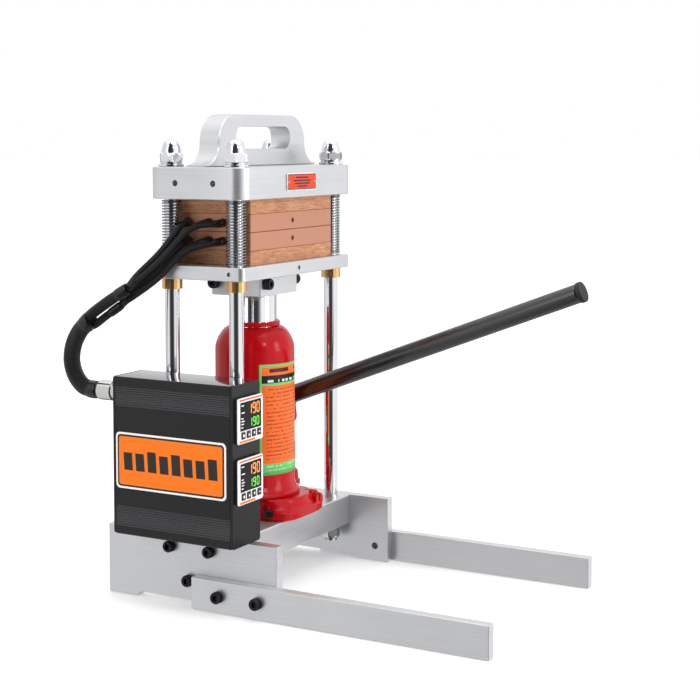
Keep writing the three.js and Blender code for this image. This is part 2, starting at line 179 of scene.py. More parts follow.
def hex_radius(across_flats, angles, turn=0.0):
    """A hexagon's outline: half its width across flats over the cosine of the angle from the nearest flat."""
    a = (angles + turn + pi / 6) % (pi / 3) - pi / 6
    return across_flats / 2 / np.cos(a)


def smooth_path(points, step=2.0):
    """Evenly spaced points on a Catmull-Rom curve through the given ones."""
    p = np.asarray(points, float)
    q = np.vstack([2 * p[0] - p[1], p, 2 * p[-1] - p[-2]])
    t = np.linspace(0, 1, 24, endpoint=False)[:, None]
    a, b, c, d = q[:-3], q[1:-2], q[2:-1], q[3:]
    t3 = t[None]
    curve = 0.5 * (2 * b[:, None] + (c - a)[:, None] * t3 + (2 * a - 5 * b + 4 * c - d)[:, None] * t3**2
                   + (3 * b - a - 3 * c + d)[:, None] * t3**3)
    line = np.vstack([curve.reshape(-1, 3), p[-1:]])
    along = np.concatenate([[0], np.cumsum(np.linalg.norm(np.diff(line, axis=0), axis=1))])
    s = np.linspace(0, along[-1], max(3, int(np.ceil(along[-1] / step)) + 1))
    return np.stack([np.interp(s, along, line[:, k]) for k in range(3)], 1)


def frames(path):
    """Two directions across a path at every point, the first turned as little as possible from one to the next."""
    t = unit(np.gradient(path, axis=0))
    n = np.zeros_like(t)
    n[0] = unit(np.cross(t[0], (0, 0, 1) if abs(t[0][2]) < 0.9 else (1, 0, 0)))
    for i in range(1, len(t)):
        v = n[i - 1] - t[i] * (n[i - 1] @ t[i])
        n[i] = unit(v)
    return n, np.cross(t, n)


def tube(path, radius, across=24):
    """A round tube along a path: point = path + radius * (cos a * n + sin a * b), each end closed to the
    path's end point. Gives points, faces and corner uvs: the angle as u and the millimetres along as v."""
    n, b = frames(path)
    a = full_turn(across)
    r = np.broadcast_to(radius, (len(path), across))[:, :, None]
    points = path[:, None] + r * (np.cos(a)[:, None] * n[:, None] + np.sin(a)[:, None] * b[:, None])
    points, faces = capped(points, path[:1], path[-1:])
    along = np.concatenate([[0], np.cumsum(np.linalg.norm(np.diff(path, axis=0), axis=1))])
    i, j = np.meshgrid(np.arange(len(path) - 1), np.arange(across), indexing="ij")
    u0, u1, v0, v1 = j / across, (j + 1) / across, along[i], along[i + 1]
    uv = np.stack([np.stack(corner, -1) for corner in ((u0, v0), (u1, v0), (u1, v1), (u0, v1))], 2)
    cap_uv = np.zeros((2 * across * 3, 2))
    return points, faces, np.vstack([uv.reshape(-1, 2), cap_uv])


def slab(outline, low, high, plane="xz", bevel=0.0):
    """A flat outline given thickness, its outer edge eased by a narrow band. Plane xz runs along Y, yz along X,
    xy along Z; the outline runs anticlockwise in its own plane's two axes."""
    o = np.asarray(outline, float)
    centre = (o.max(0) + o.min(0)) / 2
    size = (o.max(0) - o.min(0)) / 2
    inner = centre + (o - centre) * (1 - bevel / size)
    layers = [(o, low), (o, high)]
    if bevel:
        layers = [(inner, low), (o, low + bevel), (o, high - bevel), (inner, high)]
    order = {"xy": (0, 1, 2), "xz": (0, 2, 1), "yz": (1, 2, 0)}[plane]
    stack = []
    for ring, h in layers:
        p = np.zeros((len(o), 3))
        p[:, order[0]], p[:, order[1]], p[:, order[2]] = ring[:, 0], ring[:, 1], h
        stack.append(p)
    points = np.vstack(stack)
    n = len(o)
    faces = grid_faces(len(layers), n).tolist()
    faces.append(list(range(n))[::-1])
    faces.append([(len(layers) - 1) * n + i for i in range(n)])
    if plane == "xz":
        faces = [f[::-1] for f in faces]
    return points, faces


def rounded(cx, cz, half_w, half_h, r, steps=6):
    """A rectangle with quarter-circle corners, anticlockwise."""
    quarter = np.linspace(0, pi / 2, steps + 1)
    parts = [np.stack([cx + sx * (half_w - r) + r * np.cos(quarter + q * pi / 2),
                       cz + sz * (half_h - r) + r * np.sin(quarter + q * pi / 2)], -1)
             for q, (sx, sz) in enumerate([(1, 1), (-1, 1), (-1, -1), (1, -1)])]
    return np.vstack(parts)


def box_outline(x0, x1, z0, z1):
    return np.array([(x1, z1), (x0, z1), (x0, z0), (x1, z0)], float)


def soften(obj, width, segments=2, sharp=33):
    """Round the piece's edges to a radius in millimetres."""
    bevel = obj.modifiers.new("eased_edges", "BEVEL")
    bevel.width, bevel.segments = width * MM, segments
    bevel.limit_method, bevel.angle_limit = "ANGLE", radians(sharp)
    bevel.use_clamp_overlap = True
    bevel.harden_normals = True


def eased(node, width, material, segments=2, sharp=33):
    """A merged copy of a CAD node with its corners rounded to a real radius, standing for that node."""
    source = frame["nodes"][node]
    mesh = source.data.copy()
    mesh.name = node + "_eased"
    bm = bmesh.new()
    bm.from_mesh(mesh)
    bmesh.ops.remove_doubles(bm, verts=bm.verts, dist=2e-5)
    bmesh.ops.dissolve_limit(bm, angle_limit=radians(0.6), verts=bm.verts, edges=bm.edges)
    bm.to_mesh(mesh)
    bm.free()
    mesh.shade_smooth()
    if mesh.attributes.get("custom_normal"):
        mesh.attributes.remove(mesh.attributes["custom_normal"])
    obj = bpy.data.objects.new(node + "_eased", mesh)
    bpy.context.scene.collection.objects.link(obj)
    mesh.materials.clear()
    mesh.materials.append(material)
    if width:
        soften(obj, width, segments, sharp)
    mesh.set_sharp_from_angle(angle=radians(sharp))
    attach(obj, source["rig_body"])
    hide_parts(node)
    return obj


# ---- shader groups ----------------------------------------------------------------------------------
def new_group(name, inputs, outputs):
    tree = bpy.data.node_groups.new(name, "ShaderNodeTree")
    for label, kind, value in inputs:
        socket = tree.interface.new_socket(name=label, in_out="INPUT", socket_type=kind)
        if value is not None:
            socket.default_value = value
    for label, kind in outputs:
        tree.interface.new_socket(name=label, in_out="OUTPUT", socket_type=kind)
    return tree, tree.nodes.new("NodeGroupInput"), tree.nodes.new("NodeGroupOutput")


def fill(socket, value):
    """Link an output into an input, or set the input to a plain value."""
    if hasattr(value, "is_linked"):
        socket.id_data.links.new(value, socket)
    else:
        socket.default_value = value


def tree_of(*values):
    return next(x.id_data for x in values if hasattr(x, "is_linked"))


def maths(kind, a, b=None, clamp=False):
    """A math node in the tree that its inputs come from."""
    node = tree_of(a, b).nodes.new("ShaderNodeMath")
    node.operation, node.use_clamp = kind, clamp
    fill(node.inputs[0], a)
    if b is not None:
        fill(node.inputs[1], b)
    return node.outputs[0]


times, plus, minus = (partial(maths, kind) for kind in ("MULTIPLY", "ADD", "SUBTRACT"))
above, below = (partial(maths, kind) for kind in ("GREATER_THAN", "LESS_THAN"))
size_of, sine = (partial(maths, kind) for kind in ("ABSOLUTE", "SINE"))


def mixed(factor, a, b):
    """From colour a to colour b by a factor."""
    node = tree_of(factor, a, b).nodes.new("ShaderNodeMix")
    node.data_type = "RGBA"
    for socket, value in zip((node.inputs[0], node.inputs[6], node.inputs[7]), (factor, a, b)):
        fill(socket, value)
    return node.outputs[2]


def noise_on(vector, stretch, detail=3.0, rough=0.55):
    """Noise over coordinates multiplied by a stretch for each axis."""
    tree = vector.id_data
    stretched = tree.nodes.new("ShaderNodeVectorMath")
    stretched.operation = "MULTIPLY"
    fill(stretched.inputs[0], vector)
    fill(stretched.inputs[1], stretch)
    return noise_at(stretched.outputs[0], 1.0, detail, rough)


def noise_at(vector, scale, detail, rough=0.5):
    node = vector.id_data.nodes.new("ShaderNodeTexNoise")
    for key, value in (("Vector", vector), ("Scale", scale), ("Detail", detail), ("Roughness", rough)):
        fill(node.inputs[key], value)
    return node.outputs["Fac"]


F, V = "NodeSocketFloat", "NodeSocketVector"

# Brushed lines: they run level on upright faces and along one axis on flat-lying ones.
brushed, g_in, g_out = new_group("brushed_lines", [("Vector", V, None), ("Fineness", F, 1400.0)],
                                 [("Lines", F), ("Clouds", F)])
geometry = brushed.nodes.new("ShaderNodeNewGeometry")
split = brushed.nodes.new("ShaderNodeSeparateXYZ")
brushed.links.new(geometry.outputs["Normal"], split.inputs[0])
lying = above(size_of(split.outputs[2]), 0.7)
level = brushed.nodes.new("ShaderNodeCombineXYZ")
level.inputs[0].default_value = level.inputs[1].default_value = 9.0
brushed.links.new(g_in.outputs["Fineness"], level.inputs[2])
flat = brushed.nodes.new("ShaderNodeCombineXYZ")
flat.inputs[1].default_value = flat.inputs[2].default_value = 9.0
brushed.links.new(g_in.outputs["Fineness"], flat.inputs[0])
on_side = noise_on(g_in.outputs["Vector"], level.outputs[0], 4.0, 0.7)
on_top = noise_on(g_in.outputs["Vector"], flat.outputs[0], 4.0, 0.7)
lines = plus(times(on_top, lying),
              times(on_side, minus(1.0, lying)))
brushed.links.new(lines, g_out.inputs["Lines"])
brushed.links.new(noise_on(g_in.outputs["Vector"], (14, 14, 14), 2.0), g_out.inputs["Clouds"])

# Fine grain and slow clouding for paint, anodising and rubber.
grain, g_in, g_out = new_group("fine_grain",
                               [("Vector", V, None), ("Grain Size", F, 2500.0), ("Cloud Size", F, 18.0)],
                               [("Grain", F), ("Clouds", F)])
fine = noise_at(g_in.outputs["Vector"], g_in.outputs["Grain Size"], 2.0)
grain.links.new(fine, g_out.inputs["Grain"])
grain.links.new(noise_at(g_in.outputs["Vector"], g_in.outputs["Cloud Size"], 3.0), g_out.inputs["Clouds"])

# Edge tint, in noise patches where the surface normal and the normal of a rounded version of it part company: a
# painted highlight that lightens the edges of the black box and screws, and a darker red on the jack's edges.
edge_tint_tree, g_in, g_out = new_group("painted_edge_tint", [("Radius", F, 0.0006), ("Amount", F, 1.0), ("Vector", V, None)],
                              [("Wear", F)])
soft = edge_tint_tree.nodes.new("ShaderNodeBevel")
soft.samples = 4
edge_tint_tree.links.new(g_in.outputs["Radius"], soft.inputs["Radius"])
hard = edge_tint_tree.nodes.new("ShaderNodeNewGeometry")
dot = edge_tint_tree.nodes.new("ShaderNodeVectorMath")
dot.operation = "DOT_PRODUCT"
edge_tint_tree.links.new(soft.outputs["Normal"], dot.inputs[0])
edge_tint_tree.links.new(hard.outputs["Normal"], dot.inputs[1])
bent = times(minus(1.0, dot.outputs["Value"]), 5.0, True)
patch = noise_on(g_in.outputs["Vector"], (160, 160, 160), 4.0)
patchy = times(minus(patch, 0.42), 6.0, True)
edge_tint_tree.links.new(times(times(bent, patchy), g_in.outputs["Amount"], True),
               g_out.inputs["Wear"])

# Braid: two families of slanting strands on the tube's own map, each over the other in turn.
braid, g_in, g_out = new_group("braid", [("Map", V, None), ("Strands", F, 12.0), ("Rise", F, 0.35)],
                               [("Height", F), ("Tone", F)])
uv_split = braid.nodes.new("ShaderNodeSeparateXYZ")
braid.links.new(g_in.outputs["Map"], uv_split.inputs[0])
around = times(uv_split.outputs[0], g_in.outputs["Strands"])
along = times(uv_split.outputs[1], g_in.outputs["Rise"])
right_hand = plus(around, along)
left_hand = minus(around, along)
one = size_of(sine(times(right_hand, pi)))
two = size_of(sine(times(left_hand, pi)))
over = above(times(sine(times(around, 2 * pi)),
             sine(times(along, 2 * pi))), 0.0)
under = minus(1.0, over)
height = plus(times(one, plus(times(over, 0.6), 0.4)),
               times(two, plus(times(under, 0.6), 0.4)))
braid.links.new(height, g_out.inputs["Height"])
braid.links.new(over, g_out.inputs["Tone"])


# ---- materials --------------------------------------------------------------------------------------
def linear(r, g, b):
    """Screen colour, 0 to 255, as scene-linear values."""
    c = np.array([r, g, b]) / 255
    return (*np.where(c <= 0.04045, c / 12.92, ((c + 0.055) / 1.055) ** 2.4), 1.0)


class Finish:
    """A material and short ways to add to it."""

    def __init__(self, name, colour, rough, metal=0.0, **sockets):
        self.m = bpy.data.materials.new(name)
        self.m.use_nodes = True
        self.t = self.m.node_tree
        self.bsdf = next(n for n in self.t.nodes if n.type == "BSDF_PRINCIPLED")
        self.colour, self.rough = colour, rough
        self.bsdf.inputs["Base Color"].default_value = colour
        self.bsdf.inputs["Roughness"].default_value = rough
        self.bsdf.inputs["Metallic"].default_value = metal
        for key, value in sockets.items():
            self.bsdf.inputs[key.replace("_", " ").title().replace("Ior", "IOR")].default_value = value
        self.m.diffuse_color = colour
        self.coords = self.t.nodes.new("ShaderNodeTexCoord")

    def group(self, tree, source="Object", **values):
        g = self.t.nodes.new("ShaderNodeGroup")
        g.node_tree = tree
        for key in ("Vector", "Map"):
            if key in g.inputs:
                self.t.links.new(self.coords.outputs[source], g.inputs[key])
        for key, value in values.items():
            g.inputs[key.replace("_", " ")].default_value = value
        return g

    def link(self, a, b):
        self.t.links.new(a, b)

    def ranged(self, value, low, high, a=0.0, b=1.0):
        r = self.t.nodes.new("ShaderNodeMapRange")
        r.inputs["From Min"].default_value, r.inputs["From Max"].default_value = a, b
        r.inputs["To Min"].default_value, r.inputs["To Max"].default_value = low, high
        self.link(value, r.inputs["Value"])
        return r.outputs[0]

    def colour_from(self, socket):
        self.link(socket, self.bsdf.inputs["Base Color"])
        return self

    def rough_from(self, value, low, high, a=0.3, b=0.7):
        self.link(self.ranged(value, low, high, a, b), self.bsdf.inputs["Roughness"])
        return self

    def bump(self, height, distance, strength=1.0):
        b = self.t.nodes.new("ShaderNodeBump")
        b.inputs["Distance"].default_value = distance
        b.inputs["Strength"].default_value = strength
        self.link(height, b.inputs["Height"])
        self.link(b.outputs["Normal"], self.bsdf.inputs["Normal"])
        return self


def shade(colour, k):
    return (*(min(1.0, c * k) for c in colour[:3]), 1.0)


def brushed_metal(name, colour, rough, fineness=1400.0, depth=0.00002, spread=0.12, metal=1.0, lined=0.05,
                  **more):
    f = Finish(name, colour, rough, metal, **more)
    g = f.group(brushed, Fineness=fineness)
    cloudy = mixed(g.outputs["Clouds"], shade(colour, 0.90), shade(colour, 1.06))
    f.colour_from(mixed(f.ranged(g.outputs["Lines"], lined, 0.0, 0.32, 0.68), cloudy, shade(colour, 0.55)))
    f.rough_from(g.outputs["Lines"], rough - spread / 2, rough + spread / 2)
    return f.bump(g.outputs["Lines"], depth, 0.5).m


def painted(name, colour, rough, grain_size=2500.0, cloud=18.0, depth=0.00001, edge_tint=0.0,
            under=(0.25, 0.25, 0.26, 1), metal=0.0, tone=0.1, **more):
    f = Finish(name, colour, rough, metal, **more)
    g = f.group(grain, Grain_Size=grain_size, Cloud_Size=cloud)
    c = mixed(g.outputs["Clouds"], shade(colour, 1 - tone), shade(colour, 1 + tone))
    # Edges mixed towards the second colour: a painted edge highlight on the black parts.
    if edge_tint:
        w = f.group(edge_tint_tree, Amount=edge_tint)
        c = mixed(w.outputs["Wear"], c, under)
    f.colour_from(c)
    f.rough_from(g.outputs["Clouds"], rough * 0.85, rough * 1.2)
    return f.bump(g.outputs["Grain"], depth, 0.4).m


aluminium = brushed_metal("satin_aluminium", linear(222, 223, 225), 0.38, metal=0.86, lined=0.3)
chrome = brushed_metal("chrome_plate", linear(236, 237, 240), 0.07, 900, 0.000002, 0.03)
brass = brushed_metal("turned_brass", linear(228, 184, 124), 0.3, 2600, 0.00001, 0.1)
spring_wire = brushed_metal("spring_wire", linear(150, 152, 156), 0.22, 2600, 0.00001, 0.1)
copper_plate = painted("copper_anodising", linear(192, 134, 108), 0.42, 5000, 10, 0.000012, metal=0.45, tone=0.05)
# The jack's edges pulled towards a darker red by the edge tint.
jack_paint = painted("red_enamel", linear(184, 4, 16), 0.18, 700, 9, 0.00002, 0.25, linear(90, 8, 12), tone=0.07,
                     specular_ior_level=0.22)
lever_paint = painted("black_enamel", linear(14, 14, 15), 0.24, 900, 12, 0.000004, specular_ior_level=1.0)
rubber = painted("cap_rubber", linear(28, 28, 29), 0.62, 3200, 30, 0.00004)
# Box edges painted lighter grey: a painted edge highlight.
box_finish = painted("black_anodising", linear(38, 38, 39), 0.34, 5200, 12, 0.000012, 0.25, linear(110, 110, 112),
                     metal=0.3, specular_ior_level=0.25)
# The rib faces: a lighter, glossier copy of the black anodising, a painted sheen where the ribs catch light.
rib_sheen = painted("black_rib_painted_sheen", linear(64, 64, 66), 0.22, 5200, 12, 0.000004, metal=0.55)
# The box's top faces: a lighter, mirror-like copy of the black anodising, a painted sheen on the top.
box_top_sheen = painted("black_top_painted_sheen", linear(118, 118, 122), 0.06, 5200, 12, 0.000001, metal=0.9)
label_orange = painted("label_orange", linear(252, 120, 8), 0.42, 2600, 20, 0.000006, tone=0.04,
                       specular_ior_level=0.25)
label_white = painted("label_white", linear(244, 244, 242), 0.4, 2600, 20, 0.000006, tone=0.03)
label_black = painted("label_black", linear(22, 22, 22), 0.4, 2600, 20, 0.000006, tone=0.05)
bezel_white = painted("bezel_plastic", linear(238, 238, 235), 0.34, 3600, 20, 0.00001, tone=0.03)
key_rubber = painted("key_rubber", linear(30, 30, 33), 0.45, 3600, 20, 0.00002)
stripe_red = painted("stripe_red", linear(222, 78, 46), 0.4, 2600, 20, 0.000005, tone=0.05)
window = painted("display_window", linear(16, 16, 19), 0.12, 1200, 20, 0.000001, tone=0.1,
                 specular_ior_level=0.15)
# Screw edges painted lighter grey: a painted edge highlight.
screw_black = painted("black_oxide", linear(34, 34, 36), 0.36, 4200, 40, 0.00003, 0.5, linear(120, 120, 124),
                      metal=0.7)
gland_metal = brushed_metal("nickel_plate", linear(214, 214, 212), 0.16, 1200, 0.000006, 0.08)
tag_orange = painted("tag_enamel", linear(222, 60, 22), 0.34, 2600, 20, 0.000006, tone=0.06,
                     specular_ior_level=0.25)


def glowing(name, colour, strength):
    f = Finish(name, shade(colour, 0.2), 0.3, 0.0)
    g = f.group(grain, Grain_Size=1800.0, Cloud_Size=160.0)
    f.link(mixed(g.outputs["Clouds"], shade(colour, 0.82), colour), f.bsdf.inputs["Emission Color"])
    f.bsdf.inputs["Emission Strength"].default_value = strength
    return f.m


digit_orange = glowing("digits_orange", linear(255, 150, 60), 1.6)
digit_green = glowing("digits_green", linear(110, 235, 70), 1.3)

# Insulating board: pressed fibre with long level streaks, darker pores and a few pale flecks.
board = Finish("streaked_board", linear(196, 146, 98), 0.62)
fibre = noise_on(board.coords.outputs["Object"], (80, 80, 640), 5.0, 0.75)
streak = noise_on(board.coords.outputs["Object"], (420, 420, 1900), 3.0, 0.7)
knots = board.group(grain, Grain_Size=1500.0, Cloud_Size=26.0)
ramp = board.t.nodes.new("ShaderNodeValToRGB")
ramp.color_ramp.elements[0].position, ramp.color_ramp.elements[0].color = 0.30, linear(112, 66, 40)
ramp.color_ramp.elements[1].position, ramp.color_ramp.elements[1].color = 0.72, linear(232, 184, 144)
for place, tone in ((0.45, linear(172, 114, 78)), (0.56, linear(206, 148, 108))):
    ramp.color_ramp.elements.new(place).color = tone
board.link(plus(times(fibre, 0.62), times(streak, 0.38)), ramp.inputs[0])
knotted = board.ranged(knots.outputs["Clouds"], 0.0, 0.35, 0.45, 0.75)
board.colour_from(mixed(knotted, ramp.outputs[0], linear(140, 84, 48)))
board.rough_from(streak, 0.5, 0.72)
board.bump(streak, 0.0002, 0.5)
board = board.m


def braided(name, strands, rise, rough, depth):
    """Woven sleeve in black polyester: each strand a small ridge, every other crossing a little paler."""
    f = Finish(name, linear(24, 24, 25), rough, specular_ior_level=0.3)
    g = f.group(braid, "UV", Strands=strands, Rise=rise)
    fuzz = f.group(grain, Grain_Size=3600.0, Cloud_Size=40.0)
    tone = mixed(g.outputs["Tone"], linear(13, 13, 14), linear(30, 30, 32))
    f.colour_from(mixed(f.ranged(fuzz.outputs["Clouds"], 0, 0.6), tone, linear(24, 24, 27)))
    f.rough_from(g.outputs["Height"], rough + 0.12, rough - 0.12, 0.2, 1.4)
    return f.bump(g.outputs["Height"], depth, 0.9).m


sleeve_braid = braided("sleeve_braid", 26.0, 0.42, 0.42, 0.00045)
lead_braid = braided("lead_braid", 12.0, 0.62, 0.38, 0.0003)
trunk_braid = braided("trunk_braid", 18.0, 0.5, 0.4, 0.0004)
shrink = painted("shrink_tube", linear(20, 20, 21), 0.3, 1200, 60, 0.00003)

# ---- cables: first of all the pieces ----------------------------------------------------------------
SLEEVE = [(-139, 113.8, 228), (-139, 116, 228), (-139.5, 124, 227.4), (-141.5, 136, 231), (-145, 144.5, 243),
          (-149, 146.5, 260), (-152, 141, 278), (-154.5, 130.5, 293), (-155.5, 117.5, 305), (-155.8, 113, 308.4)]
UPPER_TRUNK = [(-155.5, 119, 303.5), (-156.3, 114, 312.5), (-154.5, 94, 326.5), (-150.5, 67, 343.5)]
LOWER_TRUNK = [(-154, 117, 300), (-152.5, 110.5, 302), (-150.5, 97, 311.5), (-146.5, 79, 324.5)]
PORTS = [29.0, 2.5, -16.0]
PORT_X, UPPER_PORT_Z, LOWER_PORT_Z = -88.5, 414.0, 394.0


def cable(name, path, radius, material, across, lobes, stands_for):
    """A sleeve, the leads inside pressing out lobes: radius * (0.97 + 0.03 cos(lobes * (a + twist)))."""
    path = smooth_path(path, 1.6)
    twist = np.linspace(0, 2.4, len(path))[:, None]
    r = radius * (0.97 + 0.03 * np.cos(lobes * (full_turn(across)[None] + twist)))
    points, faces, uv = tube(path, r, across)
    return piece(name, points, faces, ROOT, "braid", material, 60, uv, stands_for), path


sleeve, sleeve_path = cable("cable_sleeve_braid", SLEEVE, 9.5, sleeve_braid, 40, 5, "cable_sleeve")
upper_trunk, upper_path = cable("upper_trunk_braid", UPPER_TRUNK, 6.3, trunk_braid, 32, 3, "heater_leads_upper")
lower_trunk, lower_path = cable("lower_trunk_braid", LOWER_TRUNK, 4.4, trunk_braid, 28, 3, "heater_leads_lower")
LEAD_R = 3.5
TURNS = ((0.01, 0.3, 0.78), (0.2, 0.58, 0.86), (0.33, 0.62, 0.86))  # the first lead keeps outside the spring
EASING = (6, 20, 30)


def lead(name, port_y, z, bend_y, mouth, drop, sideways, lower, turns, easing):
    """One heater or sensor lead, from its port out and down into its trunk, a shrink boot over its first part.
    Turns says how far each bend has come across towards the trunk's mouth."""
    mouth_y, mouth_z = mouth[1:]
    first, second, third = (bend_y + share * (mouth_y - bend_y) for share in turns)
    out = 3 * lower
    path = smooth_path([(PORT_X, port_y, z), (-91.5, port_y, z), (-98, bend_y, z - 0.8),
                        (-110 - out, first, z - 4 - drop),
                        (-127 - out, second + sideways, (z + mouth_z) / 2 + 2 - drop),
                        (-141, third + sideways, mouth_z + 13 - 0.3 * drop), mouth], 1.5)
    for _ in range(easing):                         # each point halfway to the middle of its neighbours
        path[3:-1] += 0.5 * ((path[2:-2] + path[4:]) / 2 - path[3:-1])
    points, faces, uv = tube(path, LEAD_R, 18)
    obj = piece(name, points, faces, None, "braid", lead_braid, 60, uv)
    boot_path = path[1:12]
    flare = np.interp(np.linspace(0, 1, len(boot_path)), [0, 0.12, 0.2, 0.85, 1], [4.9, 5.0, 4.5, 4.3, 3.8])
    points, faces, uv = tube(boot_path, flare[:, None], 20)
    boot = piece(name + "_boot", points, faces, None, "braid", shrink, 50, uv)
    for part in (obj, boot):
        if lower:
            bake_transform(part)
        else:
            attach(part, ROOT)


def plate_leads(level, z, trunk, fan, rises, bends, drops, sideways):
    """The three leads of one heat plate, fanned over the mouth of their trunk."""
    x, y, mouth_z = trunk[-1]
    for i, port_y in enumerate(PORTS):
        mouth = (x + fan[0] * (i - 1), y + fan[1] * (i - 1), mouth_z + rises[i])
        lead(f"{level}_lead_{i + 1}", port_y, z, bends[i], mouth, drops[i], sideways[i], level == "lower",
             TURNS[i], EASING[i])


plate_leads("upper", UPPER_PORT_Z, UPPER_TRUNK, (2.2, 1.6), (1.8, -1.6, 1.2), (25.6, 2.0, -17.0), (0, 3.5, 1),
            (4.0, 0, -3.5))
plate_leads("lower", LOWER_PORT_Z, LOWER_TRUNK, (1.4, 1.0), (1.0, -1.0, 0.8), (25.6, 3.0, -15.5), (2, 5, 6),
            (5.5, 0, -4.0))


def wrap(name, path, middle, half, radius):
    """A short shrink band round a trunk, its ends drawn in."""
    part = path[max(0, middle - half):middle + half + 1]
    edge = np.interp(np.linspace(0, 1, len(part)), [0, 0.15, 0.85, 1], [0.93, 1, 1, 0.93])[:, None] * radius
    p, f, uv = tube(part, edge, 28)
    return piece(name, p, f, ROOT, "braid", shrink, 50, uv)


wraps = [wrap("upper_trunk_wrap", upper_path, len(upper_path) - 6, 5, 6.9),
         wrap("lower_trunk_wrap", lower_path, len(lower_path) - 6, 5, 5.0),
         wrap("sleeve_mouth_wrap", sleeve_path, len(sleeve_path) - 5, 4, 10.0),
         wrap("gland_end_wrap", sleeve_path, 6, 4, 9.9)]

# ---- aluminium frame --------------------------------------------------------------------------------
LEG_INNER, LEG_OUTER = 132.5, 144.3
for side, s in (("left", -1), ("right", 1)):
    eased(f"foot_plate_{side}", 0.7, aluminium)
    leg_shape = slab(box_outline(-358, -9, 0, 35), *sorted((s * LEG_INNER, s * LEG_OUTER)), "yz")
    leg = piece(f"leg_bar_{side}", *leg_shape, ROOT, "plate_aluminium", aluminium, stands_for=f"leg_{side}")
    soften(leg, 0.9, 3)
eased("base_plate", 1.6, aluminium)
eased("top_plate", 1.0, aluminium, 3)
eased("carry_handle", 1.6, aluminium, 3)
eased("platen", 0.8, aluminium, 3)
eased("ram_collar", 0.6, aluminium)

for node in ("upper_heat_plate", "lower_heat_plate"):
    eased(node, 0.45, copper_plate)
for node in ("upper_board", "lower_board"):
    eased(node, 0.35, board)

# ---- guide rods, nuts, bushings and springs ---------------------------------------------------------
UP = (0, 0, 1)
TURN = full_turn(96)


def hexagon_rows(heights, flats, chamfer, turn):
    """Rows of a hexagon nut whose corners are cut by a cone at both ends: the smaller of hexagon and cone."""
    low, high = heights[0], heights[-1]
    cone = flats / 2 * 1.02 + (np.minimum(heights - low, high - heights)[:, None]) * chamfer
    return np.minimum(hex_radius(flats, TURN, turn)[None], np.maximum(cone, flats / 2 * 0.9))


def cap_nut(x, y, turn):
    """Flat washer, split washer, chamfered hexagon, shoulder and dome, as one set of rings."""
    rows, heights = [], []

    def add(r, h):
        rows.append(np.broadcast_to(np.asarray(r, float), TURN.shape).copy())
        heights.append(h)

    for r, h in ((13.9, 475.3), (14.2, 475.6), (14.2, 477.6), (13.8, 477.9)):
        add(r, h)
    slope = 0.5 * np.sin(TURN / 2)
    for r, h in ((11.2, 477.95), (12.0, 478.2), (12.0, 480.0), (11.2, 480.25)):
        add(r - 0.1 * slope, h)
    hex_h = np.linspace(480.35, 489.9, 9)
    for r, h in zip(hexagon_rows(hex_h, 24.3, 1.6, turn), hex_h):
        add(r, h)
    add(10.8, 490.15)
    for a in np.linspace(0, pi / 2 * 0.97, 18):
        add(10.7 * cos(a) ** 0.74, 490.4 + 14.8 * sin(a))
    return rings(rows, heights, (x, y, 0), UP)


def foot_nut(x, y, turn):
    """A plain chamfered hexagon under the base plate with the rod's threaded end standing out below."""
    h = np.linspace(27.5, 41.7, 11)
    nut = rings(hexagon_rows(h, 19.0, 1.5, turn), h, (x, y, 0), UP)
    z = np.linspace(24.0, 27.3, 12)
    ridged = 7.2 + 0.35 * np.cos(z / 1.1 * 2 * pi)
    thread = turned(np.stack([ridged, z], -1), (x, y, 0), UP, 96)
    return together(nut, thread)


def coil(x, y, turns=23, mean=10.25, wire=0.98):
    """A helix with closed end turns: height follows the turn count, slower over the first and last turn."""
    t = np.linspace(0, 1, turns * 34)
    dead = 1.1 / turns
    climb = np.interp(t, [0, dead, 1 - dead, 1], [0, 0.026, 0.974, 1])
    z = PLATEN_TOP + wire + 0.1 + climb * (PLATE_TOP - PLATEN_TOP - 2 * wire - 0.2)
    a = 2 * pi * turns * t
    path = np.stack([x + mean * np.cos(a), y + mean * np.sin(a), z], 1)
    return tube(path, wire, 8)[:2]


ROD = [(ROD_R - 1, 42.0), (ROD_R, 42.3), (ROD_R, 489.2), (ROD_R - 1, 490)]
for corner, (sx, sy) in CORNERS.items():
    x, y = sx * ROD_X, sy * ROD_Y
    piece("rod_" + corner, *turned(ROD, (x, y, 0), UP, 72), ROOT, "rod_chrome", chrome,
          stands_for="guide_rod_" + corner)
    piece("foot_nut_" + corner, *foot_nut(x, y, 0.3 * sx), ROOT, "rod_chrome", gland_metal, 28)
    piece("acorn_nut_" + corner, *cap_nut(x, y, 0.05 + 0.12 * sx - 0.08 * sy), ROOT, "rod_chrome", chrome, 30,
          stands_for="cap_nut_" + corner)
    spring = piece("coil_" + corner, *coil(x, y), None, "spring_steel", spring_wire, 60)
    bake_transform(spring)
    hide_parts("return_spring_" + corner)

# ---- socket cap screws ------------------------------------------------------------------------------
KNURL = full_turn(144)


def cap_screw(origin, axis, radius=6.3, tall=7.6):
    """A knurled head with a hexagon socket: rows run up the side, in over the rim, down the socket's flats."""
    ridge = radius + 0.14 * np.cos(KNURL * 36)
    socket = hex_radius(5.6, KNURL)
    steps = (radius - 0.35, ridge, ridge, radius - 0.15, radius - 0.7, socket + 0.45, socket, socket, 1.2)
    rows = np.stack([np.broadcast_to(r, KNURL.shape) for r in steps])
    heights = [0.0, 0.35, tall - 1.2, tall - 0.8, tall, tall, tall - 0.5, tall - 4.2, tall - 4.9]
    return rings(rows, heights, origin, axis)


